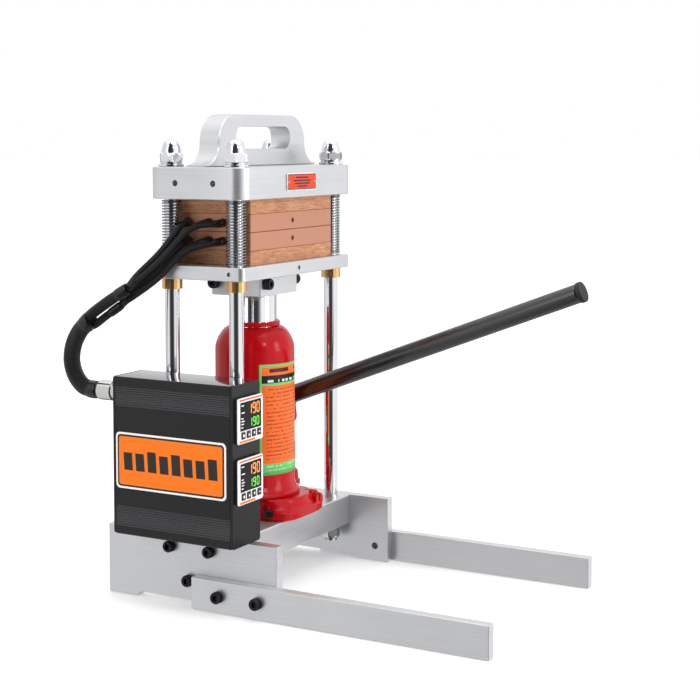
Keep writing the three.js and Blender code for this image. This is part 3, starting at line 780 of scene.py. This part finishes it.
for side, s in (("left", -1), ("right", 1)):
    face, leg_face = s * 132.32, s * 144.32
    heads = [cap_screw((face, y, z), (s, 0, 0)) for y, z in ((-25.7, 62), (25.7, 62), (1.5, 27))]
    heads += [cap_screw((leg_face, y, 18), (s, 0, 0)) for y in (-44, -92.7)]
    piece("frame_screws_" + side, *together(*heads), ROOT, "lever_black", screw_black, 28)
collar_heads = [cap_screw(place, axis, tall=8) for place, axis in (
    ((-30, -33.3, 343), (0, -1, 0)), ((-40.3, 27, 343), (-1, 0, 0)),
    ((40.3, -27, 343), (1, 0, 0)), ((30, 33.3, 343), (0, 1, 0)))]
piece("collar_screws", *together(*collar_heads), MOVING, "lever_black", screw_black, 28)

# ---- bottle jack ------------------------------------------------------------------------------------
CENTRE = (0, 0, 0)
shoulder = [(29.8 + 15.7 * cos(a) ** 1.3, 266 + 25.6 * sin(a) ** 1.2) for a in np.linspace(0, pi / 2 * 0.97, 20)]
barrel = [(20, 99.4), (51.0, 99.4), (51.4, 100.2), (51.4, 103.2), (50.2, 104.6), (48.6, 105.2), (48.0, 106.6),
          (47.2, 107.4), (46.9, 109.6), (46.1, 110.8), (45.5, 112.5), (45.5, 150), (45.5, 200), (45.5, 250),
          *shoulder, (29.4, 291.6), (26.4, 291.8), (25.6, 288)]
gland = [(24.9, 292.4), (28.4, 292.4), (28.9, 292.9), (28.9, 297.2), (28.3, 297.8), (26.2, 297.9), (25.6, 297.2),
         (25.0, 296.4)]
ram = [(23.5, 190), (24.5, 191), (24.5, 350.5), (23.6, 352.4)]
piece("reservoir", *turned(barrel, CENTRE, UP, 120), ROOT, "jack_red", jack_paint, 40, stands_for="jack_body")
piece("neck_nut", *turned(gland, CENTRE, UP, 96), ROOT, "jack_red", jack_paint, 40, stands_for="ram_gland_nut")
piece("ram_bar", *turned(ram, CENTRE, UP, 96), MOVING, "rod_chrome", chrome, stands_for="jack_ram")


def convex_radius(corners, centre, angles, p=22):
    """From the centre to a convex outline with softened corners: (sum of distances to the edges^-p)^(-1/p)."""
    c = np.array(corners, float) - centre
    edge = np.roll(c, -1, 0) - c
    normal = unit(np.stack([edge[:, 1], -edge[:, 0]], -1))
    away = (normal * c).sum(1)
    facing = np.cos(angles)[:, None] * normal[:, 0] + np.sin(angles)[:, None] * normal[:, 1]
    return ((np.maximum(facing, 1e-4) / away) ** p).sum(1) ** (-1 / p)


FLANGE = [(-30, -58), (44, -58), (60, -50), (86, -16), (86, 32), (68, 48), (-34, 48), (-50, 42), (-57, 30),
          (-57, -32), (-47, -52)]
ROUND = full_turn(160)
HUB = (8.0, -3.0)
BARREL_SEAT_R, PUMP_SEAT_R, PUMP_SEAT_X = 51.6, 18, 66
outer = convex_radius(FLANGE, HUB, ROUND)
seat_outline = [(BARREL_SEAT_R * cos(a), BARREL_SEAT_R * sin(a)) for a in np.radians(np.arange(24, 337, 8))]
for a in np.radians(np.arange(-40, 41, 20)):
    seat_outline.append((PUMP_SEAT_X + PUMP_SEAT_R * cos(a), PUMP_SEAT_R * sin(a)))
base_rows = [(outer - 0.8, 77.4), (outer, 78.2), (outer, 84.5)]
base_rows += [(outer - 3.2 * (1 - cos(a)), 84.5 + 3.2 * sin(a)) for a in np.linspace(0.2, pi / 2 * 0.85, 6)]
lip, lip_z = base_rows[-1]
seat = np.minimum(convex_radius(seat_outline, HUB, ROUND, 60), lip - 0.6)
base_rows += [(lip + (seat - lip) * t, lip_z + (98.6 - lip_z) * t ** 1.7) for t in np.linspace(0.12, 1, 12)]
base_rows.append((seat - 0.8, 99.3))
flange = rings([r for r, _ in base_rows], [z for _, z in base_rows], (*HUB, 0), UP, -pi / 2)
pump_barrel = turned([(17.5, 95), (17.5, 99.8), (15.4, 101.6), (15.0, 110.6), (14.2, 112.0), (12.4, 112.4),
                      (12, 113.4), (12, 144.6), (11, 146), (7.2, 146), (6.4, 145.2), (6.4, 104)],
                     (67, 0, 0), UP, 72)
valve_boss = turned([(11, 0), (11, 11.4), (9.8, 12.5), (6.0, 12.5), (5.3, 11.8), (5.3, 0.5)], (35, -47, 89),
                    (0, -1, 0))
piece("jack_casting", *together(flange, pump_barrel, valve_boss), ROOT, "jack_red", jack_paint, 38,
      stands_for="jack_base")
for node in ("release_valve", "lever_socket", "fulcrum_link"):
    eased(node, 0.5, jack_paint)
for node in ("plunger_pin", "fulcrum_pin", "pump_plunger"):
    eased(node, 0.4, chrome)
plug = turned([(6.4, -4), (6.4, 3.0), (5.8, 3.6), (3.2, 3.6), (2.8, 3.0), (0.6, 2.8)], (-40, -43, 86.5), UP, 6)
piece("filler_plug", *plug, ROOT, "lever_black", screw_black)

# The jack's label: a thin wrapped sheet, mapped in millimetres round and up.
LABEL_LOW, LABEL_HIGH, LABEL_R = 126.0, 252.0, 45.58
SHEET_ROWS, SHEET_ACROSS = 12, 90
turn_a = np.radians(np.linspace(218, 328, SHEET_ACROSS))
up_z = np.linspace(LABEL_LOW, LABEL_HIGH, SHEET_ROWS)
aa, zz = np.meshgrid(turn_a, up_z)
sheet_points = np.stack([LABEL_R * np.cos(aa), LABEL_R * np.sin(aa), zz], -1).reshape(-1, 3)
sheet_faces = grid_faces(SHEET_ROWS, SHEET_ACROSS, closed=False)
arc = (turn_a - turn_a[0]) * LABEL_R
ARC_LONG = float(arc[-1])
sheet_uv = np.stack([arc[sheet_faces % SHEET_ACROSS], up_z[sheet_faces // SHEET_ACROSS] - LABEL_LOW], -1)


def between(value, low, high):
    """1 where low < value < high."""
    return times(above(value, low), below(value, high))


paper = Finish("jack_label_print", linear(250, 116, 40), 0.34, specular_ior_level=0.3)
uvs = paper.t.nodes.new("ShaderNodeSeparateXYZ")
paper.link(paper.coords.outputs["UV"], uvs.inputs[0])
round_mm, up_mm = uvs.outputs[0], uvs.outputs[1]
across_field = between(round_mm, 3.0, ARC_LONG - 3.0)
inside = times(times(across_field, between(up_mm, 12.6, 123.2)), minus(1.0, between(up_mm, 102.0, 104.6)))
clouded = paper.group(grain, Grain_Size=2600.0, Cloud_Size=20.0)
field = mixed(clouded.outputs["Clouds"], linear(240, 98, 26), linear(250, 114, 36))
tone = mixed(inside, linear(104, 206, 112), field)
tone = mixed(times(between(up_mm, 104.6, 113.4), across_field), tone, linear(26, 26, 26))


def dashes(pitch, thick, low, high, margin, along_scale, cut_off):
    """Rows of plain dashes: a row where the height modulo the pitch is small, broken by noise along the row."""
    row = below(maths("MODULO", up_mm, pitch), thick)
    join = paper.t.nodes.new("ShaderNodeCombineXYZ")
    paper.link(times(round_mm, along_scale), join.inputs[0])
    paper.link(times(maths("FLOOR", maths("DIVIDE", up_mm, pitch)), 7.31), join.inputs[1])
    on = above(noise_at(join.outputs[0], 1.0, 0.0), cut_off)
    area = times(between(up_mm, low, high), between(round_mm, margin[0], ARC_LONG - margin[1]))
    return times(times(row, on), area)


for strength, colour, *rows in ((0.8, linear(120, 44, 18), 4.4, 1.3, 18, 98, (8, 9), 0.5, 0.42),
                                (1.0, linear(60, 20, 12), 10.6, 4.4, 113.4, 122, (12, 12), 0.14, 0.36),
                                (0.9, linear(236, 236, 230), 9.6, 2.8, 104, 112.6, (10, 10), 0.32, 0.42),
                                (0.7, linear(206, 240, 206), 4.6, 1.5, 2, 11.5, (8, 9), 0.45, 0.45)):
    tone = mixed(times(dashes(*rows), strength), tone, colour)
paper.colour_from(tone)
paper.rough_from(clouded.outputs["Clouds"], 0.28, 0.4)
paper.bump(clouded.outputs["Grain"], 0.000006, 0.3)
label = piece("jack_label", sheet_points, sheet_faces, ROOT, "label_orange", paper.m, 40, sheet_uv)
thick = label.modifiers.new("paper", "SOLIDIFY")
thick.thickness, thick.offset = 0.00012, 1.0

# ---- lever ------------------------------------------------------------------------------------------
TILT = radians(21.05)
LEVER_DIR = np.array([0.0, -cos(TILT), sin(TILT)])
LEVER_FOOT = np.array([67.0, 0.0, 198.8])
bar_profile = [(8.6, -19.0), (9.9, -20.0), (10.5, -19.2), (10.5, 60), (10.5, 160), (10.5, 260), (10.5, 392.8),
               (9.9, 393.6), (9.0, 393.7)]
piece("pump_bar", *turned(bar_profile, LEVER_FOOT, LEVER_DIR, 80), "pump_lever", "lever_black", lever_paint,
      stands_for="lever_bar")
eased("lever_cap", 0.8, rubber)

# ---- control box ------------------------------------------------------------------------------------
BOX_X0, BOX_X1, BOX_Z0, BOX_Z1, BOX_Y = -166.0, -112.0, 77.3, 249.5, 73.6
BOX_CORNER, RIB_DEPTH = 1.6, 0.9
RIB_BANDS = ((86.0, 109.0), (217.0, 239.0))


def ribbed_side(x, outwards):
    """The wall's height line: nine shallow rounded ribs inside each band."""
    lines = []
    for lo, hi in RIB_BANDS:
        z = np.linspace(lo, hi, 81)
        rise = RIB_DEPTH * np.abs(np.sin(pi * 9 * (z - lo) / (hi - lo))) ** 0.7
        lines.append(np.stack([x - outwards * (RIB_DEPTH - rise) * ((z > lo) & (z < hi)), z], -1))
    return np.vstack(lines)


def box_corner(x, z, start):
    """A quarter circle that rounds the corner at x, z, from a start angle in degrees."""
    a = np.radians(np.linspace(start, start + 90, 7))
    inward_x, inward_z = (x < BOX_X1) - (x > BOX_X0), (z < BOX_Z1) - (z > BOX_Z0)
    return np.stack([x + inward_x * BOX_CORNER + BOX_CORNER * np.cos(a),
                     z + inward_z * BOX_CORNER + BOX_CORNER * np.sin(a)], -1)


outline = np.vstack([box_corner(BOX_X1, BOX_Z1, 0), box_corner(BOX_X0, BOX_Z1, 90),
                     ribbed_side(BOX_X0, -1)[::-1], box_corner(BOX_X0, BOX_Z0, 180),
                     box_corner(BOX_X1, BOX_Z0, 270), ribbed_side(BOX_X1, 1)])
shell = piece("box_extrusion", *slab(outline, -BOX_Y, BOX_Y, "xz"), ROOT, "box_black", box_finish, 30)
# Upward faces take the lighter top copy and rib faces the lighter rib copy, both a painted sheen.
for material in (box_top_sheen, rib_sheen):
    shell.data.materials.append(material)
box_middle = at((-139, 0, 0))[0]
for face in shell.data.polygons:
    z = face.center.z / MM
    if face.normal.z > 0.95 and len(face.vertices) == 4:
        face.material_index = 1
    on_wall = abs(face.normal.y) < 0.5 and abs(face.center.x - box_middle) > 0.024
    if on_wall and any(lo < z < hi for lo, hi in RIB_BANDS):
        face.material_index = 2
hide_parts("box_shell")
for node in ("box_front_cover", "box_back_cover"):
    eased(node, 0.5, box_finish)


def layer(name, outline, low, high, slot, material, plane="xz", stands_for=None):
    """One flat layer fixed to the frame: an outline between two levels."""
    piece(name, *slab(outline, low, high, plane), ROOT, slot, material, 30, stands_for=stands_for)


LABEL_Y, LABEL_Z, LABEL_W, LABEL_H = 1.5, 159.0, 71.0, 30.5
for name, near, far, inset, r, material, slot, node in (
        ("box_label_border", -166.2, -166.75, 0.0, 5.0, label_white, "bezel_white", "box_label"),
        ("box_label_line", -166.7, -166.9, 2.2, 4.0, label_black, "box_black", None),
        ("box_label_field", -166.85, -167.05, 4.2, 3.0, label_orange, "label_orange", None)):
    shape = rounded(LABEL_Y, LABEL_Z, LABEL_W - inset, LABEL_H - inset, r, 8)
    layer(name, shape, far, near, slot, material, "yz", node)

blocks = []
for k, tall in enumerate((12, 9, 9, 12, 9, 12, 9, 9)):
    y = LABEL_Y + (k - 3.5) * 15.6
    top, foot = LABEL_Z + tall, LABEL_Z - 10
    slanted = [(y + 6.2, top), (y - 5.0, top), (y - 6.2, foot), (y + 5.0, foot)]
    blocks.append(slab(slanted, -167.19, -166.95, "yz"))
piece("box_label_mark", *together(*blocks), ROOT, "box_black", label_black, 30)

# ---- panel controllers ------------------------------------------------------------------------------
PANEL_X, PANEL_Y, HALF = -137.8, -82.0, 24.0
KEY_STANDS = 0.12                               # how far a pressed key still stands out of its bezel
SEGMENTS = {"1": "bc", "9": "abcdfg", "0": "abcdef"}


def segment(x0, z0, x1, z1, thick):
    """A thin bar between two points with pointed ends."""
    a, b = np.array([x0, z0], float), np.array([x1, z1], float)
    d = unit(b - a)
    n = np.array([-d[1], d[0]])
    h = thick / 2
    return np.array([a, a + d * h - n * h, b - d * h - n * h, b, b - d * h + n * h, a + d * h + n * h])


def digits(text, left, foot, wide, high, gap, thick):
    """Seven-segment numerals on the display: each lit bar a slab."""
    parts = []
    for k, char in enumerate(text):
        x, mid, top = left + k * (wide + gap), foot + high / 2, foot + high
        right = x + wide
        places = {"a": (x, top, right, top), "b": (right, mid, right, top), "c": (right, foot, right, mid),
                  "d": (x, foot, right, foot), "e": (x, foot, x, mid), "f": (x, mid, x, top),
                  "g": (x, mid, right, mid)}
        parts += [slab(segment(*places[s], thick), PANEL_Y + 0.2, PANEL_Y + 0.5) for s in SEGMENTS[char]]
    return together(*parts)


def frame_ring(x, z, outer, inner, y0, y1, r_out, r_in):
    """A square ring with rounded corners, front face towards -Y, its front edge eased."""
    o, q = rounded(x, z, outer, outer, r_out, 6), rounded(*inner, r_in, 6)
    c = np.array([x, z])
    eased_out, eased_in = c + (o - c) * 0.972, q + (q - np.array(inner[:2])) * 0.012
    rows = [(q, y1), (o, y1), (o, y0 + 0.7), (eased_out, y0), (eased_in, y0), (q, y0 + 0.5)]
    points = np.vstack([np.stack([p[:, 0], np.full(len(o), y), p[:, 1]], -1) for p, y in rows])
    return points, grid_faces(len(rows) + 1, len(o)) % len(points)


def key_glyphs(x, z):
    """A dot, an arrow up, an arrow down and a dash, the four keys' marks in order."""
    up, down = ([(x, z + 1.7 * way), (x - 1.7 * way, z - 1.2 * way), (x + 1.7 * way, z - 1.2 * way)]
                for way in (1, -1))
    return rounded(x, z, 1.5, 1.5, 1.4, 5), up, down, box_outline(x - 1.6, x + 1.6, z - 0.5, z + 0.5)


def node_box(node):
    """Low and high corners of a CAD node, in millimetres about the ram's axis."""
    return (np.array(c) / MM - PRESS_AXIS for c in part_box(node))


for which, pz in (("upper", 212.0), ("lower", 147.5)):
    wz = pz + 4.5
    ring = frame_ring(PANEL_X, pz, HALF, (PANEL_X, wz, 20.4, 15.0), PANEL_Y, PANEL_Y + 1.7, 2.2, 1.2)
    piece(f"bezel_{which}", *ring, ROOT, "bezel_white", bezel_white, 30, stands_for=f"controller_{which}")
    ring = frame_ring(PANEL_X, pz, HALF - 0.4, (PANEL_X, wz, 20.6, 15.2), PANEL_Y + 1.75, PANEL_Y + 5.0, 2.0, 1.2)
    piece(f"case_{which}", *ring, ROOT, "box_black", key_rubber, 30)
    for name, left, right, low, high, near, far, slot, material in (
            ("display", 20.3, 20.3, wz - 14.9, wz + 14.9, 0.35, 4.8, "box_black", window),
            ("top_stripe", 22.2, 22.2, pz + 21.0, pz + 22.8, -0.08, 1, "label_orange", stripe_red),
            ("foot_stripe", 22.0, 8.0, pz - 22.9, pz - 20.6, -0.08, 1, "label_orange", label_orange)):
        layer(f"{name}_{which}", box_outline(PANEL_X - left, PANEL_X + right, low, high), PANEL_Y + near,
              PANEL_Y + far, slot, material)
    for name, left, foot, wide, high, gap, thick, material in (
            ("set", -3.2, 1.4, 4.6, 10.4, 3.1, 1.35, digit_orange),
            ("read", -1.8, -12.0, 3.9, 8.6, 3.0, 1.2, digit_green)):
        numerals = digits("190", PANEL_X + left, wz + foot, wide, high, gap, thick)
        piece(f"{name}_digits_{which}", *numerals, ROOT, "label_orange", material, 30)
    marks = [slab(box_outline(PANEL_X - 18, PANEL_X - 18 + w, wz + z, wz + z + 1.1), PANEL_Y + 0.2, PANEL_Y + 0.5)
             for z, w in ((11, 5), (3.5, 6.5), (-2.5, 4), (-5.5, 6), (-8.5, 4.6), (-12, 3.4))]
    piece(f"display_marks_{which}", *together(*marks), ROOT, "bezel_white", label_white, 30)
    for k in range(4):
        node = f"key_{which}_{k + 1}"
        key = eased(node, 0.35, key_rubber, 3)
        front_zone = min(v.co.y for v in key.data.vertices) + 0.3 * MM
        for vertex in key.data.vertices:
            if vertex.co.y < front_zone:
                vertex.co.y -= KEY_STANDS * MM
        lo, hi = node_box(node)
        glyph = key_glyphs((lo[0] + hi[0]) / 2, (lo[2] + hi[2]) / 2)[k]
        front = lo[1] - KEY_STANDS
        piece(f"{node}_mark", *slab(glyph, front - 0.06, front + 0.02), frame["nodes"][node]["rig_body"],
              "bezel_white", label_white, 30)

# ---- gland, tag and what is left of the CAD nodes ----------------------------------------------------
eased("cable_gland", 0.5, gland_metal)
lo, hi = node_box("front_tag")
tx, tz, tw, th = (lo[0] + hi[0]) / 2, (lo[2] + hi[2]) / 2, (hi[0] - lo[0]) / 2, (hi[2] - lo[2]) / 2
layer("tag_border", rounded(tx, tz, tw, th, 0.8, 4), lo[1] + 0.25, hi[1], "bezel_white", label_white,
      stands_for="front_tag")
for name, inset, near, far, material, slot in (("tag_line", 0.8, 0.14, 0.4, label_black, "box_black"),
                                               ("tag_field", 1.7, 0.06, 0.3, tag_orange, "label_orange")):
    layer(name, rounded(tx, tz, tw - inset, th - inset, 0.5, 4), lo[1] + near, lo[1] + far, slot, material)
bars = [slab(box_outline(tx - w * tw, tx + w * tw, tz + (rise - 0.09) * th, tz + (rise + 0.09) * th),
             lo[1], lo[1] + 0.2)
        for w, rise in ((0.42, 0.5), (0.6, 0.14), (0.52, -0.2), (0.34, -0.54))]
piece("tag_bars", *together(*bars), ROOT, "box_black", label_black, 30)
rivets = [turned([(1.5, 0), (1.5, 0.15), (1.1, 0.3), (0.1, 0.36)], (tx + k * (tw - 3.2), lo[1] + 0.36, tz),
                 (0, -1, 0), 28) for k in (-1, 1)]
piece("tag_rivets", *together(*rivets), ROOT, "rod_chrome", gland_metal, 30)

by_slot = {"plate_aluminium": aluminium, "rod_chrome": chrome, "bushing_brass": brass, "board": board,
           "spring_steel": spring_wire, "heat_plate": copper_plate, "jack_red": jack_paint,
           "lever_black": lever_paint, "cap_rubber": rubber, "box_black": box_finish,
           "label_orange": label_orange, "bezel_white": bezel_white, "key_black": key_rubber, "braid": shrink}
for node, obj in frame["nodes"].items():
    obj.data.materials.clear()
    obj.data.materials.append(by_slot[slot_of[node]])

# ---- floor, light and world -------------------------------------------------------------------------
floor_mesh = bpy.data.meshes.new("floor")
floor_corners = [(-30, -30, -0.0006), (30, -30, -0.0006), (30, 30, -0.0006), (-30, 30, -0.0006)]
floor_mesh.from_pydata(floor_corners, [], [(0, 1, 2, 3)])
floor = bpy.data.objects.new("floor", floor_mesh)
bpy.context.scene.collection.objects.link(floor)
pale = Finish("pale_floor", (0.97, 0.97, 0.97, 1), 0.32, specular_ior_level=0.2, emission_color=(1, 1, 1, 1),
              emission_strength=0.22)
floor_mesh.materials.append(pale.m)
floor.visible_glossy = False                    # polished metal shows the room's tall panels all the way down

world = bpy.data.worlds.new("studio")
bpy.context.scene.world = world
world.use_nodes = True
wt = world.node_tree
background = next(n for n in wt.nodes if n.type == "BACKGROUND")
coords = wt.nodes.new("ShaderNodeTexCoord")
room = wt.nodes.new("ShaderNodeSeparateXYZ")
wt.links.new(coords.outputs["Generated"], room.inputs[0])
to_x, to_y, to_z = room.outputs
# Tall soft panels and dark gaps round the room, as degrees from the corner between the front and the box side.
CORNER = radians(208.8)
across_c = plus(times(to_x, cos(CORNER)), times(to_y, sin(CORNER)))
across_s = minus(times(to_y, cos(CORNER)), times(to_x, sin(CORNER)))
turn = plus(times(maths("ARCTAN2", across_s, across_c), 1 / (2 * pi)), 0.5)
ROOM = ((-180, 0.22), (-152, 0.28), (-141, 0.8), (-100, 0.85), (-50, 0.95), (-39, 0.4), (-28, 0.07), (20, 0.05),
        (30, 0.35), (42, 1.15), (90, 1.05), (138, 1.1), (150, 0.3), (180, 0.22))
panels = wt.nodes.new("ShaderNodeValToRGB")
for k, (angle, tone) in enumerate(ROOM):
    place = (angle + 180) / 360
    e = panels.color_ramp.elements[0] if k == 0 else panels.color_ramp.elements.new(place)
    e.position, e.color = place, (tone, tone, tone * 1.01, 1)
wt.links.new(turn, panels.inputs[0])


def risen(low, high):
    """0 below one height of the room, 1 above another."""
    node = wt.nodes.new("ShaderNodeMapRange")
    node.interpolation_type = "SMOOTHSTEP"
    node.inputs["From Min"].default_value, node.inputs["From Max"].default_value = low, high
    wt.links.new(to_z, node.inputs["Value"])
    return node.outputs[0]


upper, ceiling = risen(-0.01, 0.06), risen(0.5, 0.86)
behind = above(size_of(minus(turn, 0.5)), 0.37)
ahead = times(below(size_of(minus(turn, 0.49)), 0.062), below(to_z, 0.97))
room_tone = panels.outputs[0]
for mask, tone in ((times(behind, upper), 1.0), (ceiling, 1.45), (ahead, 0.05)):
    room_tone = mixed(mask, room_tone, (tone, tone, tone, 1))
wt.links.new(room_tone, background.inputs["Color"])
background.inputs["Strength"].default_value = 0.95
white = wt.nodes.new("ShaderNodeBackground")
white.inputs["Color"].default_value = (1, 1, 1, 1)
seen = wt.nodes.new("ShaderNodeLightPath")
either = wt.nodes.new("ShaderNodeMixShader")
wt.links.new(seen.outputs["Is Camera Ray"], either.inputs[0])
wt.links.new(background.outputs[0], either.inputs[1])
wt.links.new(white.outputs[0], either.inputs[2])
wt.links.new(either.outputs[0], next(n for n in wt.nodes if n.type == "OUTPUT_WORLD").inputs["Surface"])
bpy.context.scene.view_settings.view_transform = "Standard"


def soft_light(name, place, target, size, size_y, power):
    data = bpy.data.lights.new(name, "AREA")
    data.shape, data.size, data.size_y, data.energy = "RECTANGLE", size, size_y, power
    obj = bpy.data.objects.new(name, data)
    obj.location = place
    obj.rotation_euler = (Vector(target) - Vector(place)).to_track_quat("-Z", "Y").to_euler()
    bpy.context.scene.collection.objects.link(obj)


soft_light("overhead", (-0.3, -0.4, 2.2), (0, 0, 0.2), 1.2, 1.2, 9)
soft_light("left_panel", (-1.9, 0.6, 1.1), (0, 0.1, 0.25), 0.35, 1.3, 5)
soft_light("front_panel", (0.5, -2.2, 0.8), (0, 0, 0.2), 0.6, 1.3, 13)
soft_light("corner_lamp", (-1.0, -1.8, 1.5), (0, 0.1, 0.25), 0.22, 0.22, 5)
